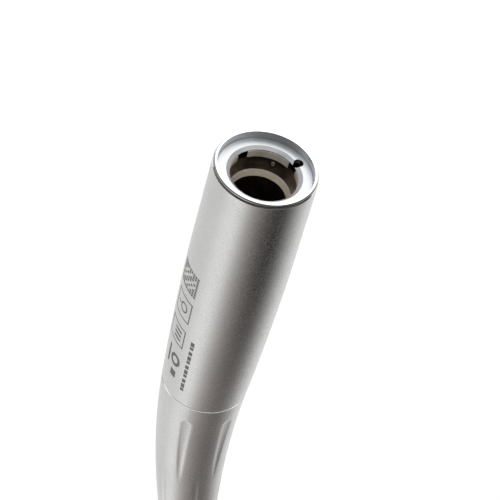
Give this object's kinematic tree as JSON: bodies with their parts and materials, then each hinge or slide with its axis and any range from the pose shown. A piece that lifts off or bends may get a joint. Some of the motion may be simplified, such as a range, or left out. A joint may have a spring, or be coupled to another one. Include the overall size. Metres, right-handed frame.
{
  "type": "prophy angle",
  "caption": "Reusable metal contra-angle dental handpiece: motor coupling bore, satin grip with finger flutes, bent neck, right-angle push-button chuck head.",
  "frame": {"origin": "centre of the motor coupling's mouth, in the plane of its end face", "axes": "+Z along the coupling bore, out of the mouth towards the motor; the neck bends towards +X"},
  "size_m": [0.0318, 0.02, 0.1283],
  "materials": {
    "satin_sleeve": "blasted and pearl-chromed, satin",
    "polished_steel": "turned and polished",
    "coupling_steel": "fine turned, bright",
    "bronzed_steel": "hardened, heat tinted",
    "dark_steel": "turned, oiled",
    "housing_aluminium": "turned",
    "gear_steel": "hobbed and hardened",
    "bearing_steel": "ground and lapped",
    "shaft_steel": "ground",
    "washer_brass": "rolled",
    "seal_rubber": "moulded",
    "spring_steel": "drawn wire"
  },
  "bodies": {
    "root": {"rear_sleeve": "satin_sleeve", "coupling_body": "coupling_steel", "slotted_ring": "bronzed_steel", "guide_bush": "dark_steel", "lock_pin": "coupling_steel", "rear_bearing_housing": "housing_aluminium", "bearing_spacer": "shaft_steel", "housing_circlip": "dark_steel", "ring_gear": "gear_steel", "thrust_washer": "washer_brass", "transmission_tube": "housing_aluminium", "joint_o_ring": "seal_rubber", "front_sleeve": "satin_sleeve", "neck_tube": "dark_steel", "head_housing": "satin_sleeve", "head_cap": "polished_steel", "head_shim": "washer_brass", "head_cover": "polished_steel", "input_outer_races": "bearing_steel", "carrier_outer_races": "bearing_steel", "front_outer_races": "bearing_steel", "head_outer_races": "bearing_steel"},
    "input_shaft": {"drive_dog": "gear_steel", "input_shaft": "shaft_steel", "sun_gear": "gear_steel", "shaft_circlip": "dark_steel", "input_inner_races": "bearing_steel", "input_balls": "bearing_steel"},
    "carrier": {"planet_carrier": "shaft_steel", "carrier_plate": "shaft_steel", "planet_pins": "shaft_steel", "knee_drive_gear": "gear_steel", "carrier_inner_races": "bearing_steel", "carrier_balls": "bearing_steel"},
    "planet_1": {"planet_gear_1": "gear_steel"},
    "planet_2": {"planet_gear_2": "gear_steel"},
    "planet_3": {"planet_gear_3": "gear_steel"},
    "front_shaft": {"knee_driven_gear": "gear_steel", "front_shaft": "shaft_steel", "front_pinion": "gear_steel", "front_inner_races": "bearing_steel", "front_balls": "bearing_steel"},
    "spindle": {"spindle": "polished_steel", "head_gear": "gear_steel", "chuck_clip": "polished_steel", "head_inner_races": "bearing_steel", "head_balls": "bearing_steel"},
    "button": {"push_button": "polished_steel", "button_spring": "spring_steel"}
  },
  "joints": [
    {"name": "input_spin", "type": "hinge", "parent": "root", "child": "input_shaft", "pos_m": [0, 0, -0.038], "axis": [0, 0, 1], "continuous": true},
    {"name": "carrier_spin", "type": "hinge", "parent": "root", "child": "carrier", "pos_m": [0, 0, -0.068], "axis": [0, 0, 1], "continuous": true},
    {"name": "planet_1_spin", "type": "hinge", "parent": "carrier", "child": "planet_1", "pos_m": [0.0036, 0, -0.0482], "axis": [0, 0, 1], "continuous": true},
    {"name": "planet_2_spin", "type": "hinge", "parent": "carrier", "child": "planet_2", "pos_m": [-0.0018, 0.00312, -0.0482], "axis": [0, 0, 1], "continuous": true},
    {"name": "planet_3_spin", "type": "hinge", "parent": "carrier", "child": "planet_3", "pos_m": [-0.0018, -0.00312, -0.0482], "axis": [0, 0, 1], "continuous": true},
    {"name": "front_spin", "type": "hinge", "parent": "root", "child": "front_shaft", "pos_m": [0.00513, 0, -0.10231], "axis": [-0.342, 0, 0.9397], "continuous": true},
    {"name": "spindle_spin", "type": "hinge", "parent": "root", "child": "spindle", "pos_m": [0.01231, 0, -0.12204], "axis": [-0.9397, 0, -0.342], "continuous": true},
    {"name": "button_press", "type": "slide", "parent": "root", "child": "button", "axis": [-0.9397, 0, -0.342], "range_m": [0, 0.0008], "stiffness_N_per_m": 6000, "springref_m": -0.0005, "deforming": ["button_spring"]}
  ],
  "couplings": [
    {"joint": "carrier_spin", "follows": "input_spin", "ratio": 0.25},
    {"joint": "planet_1_spin", "follows": "input_spin", "ratio": -0.75},
    {"joint": "planet_2_spin", "follows": "input_spin", "ratio": -0.75},
    {"joint": "planet_3_spin", "follows": "input_spin", "ratio": -0.75},
    {"joint": "front_spin", "follows": "input_spin", "ratio": 0.25},
    {"joint": "spindle_spin", "follows": "input_spin", "ratio": -0.25}
  ]
}
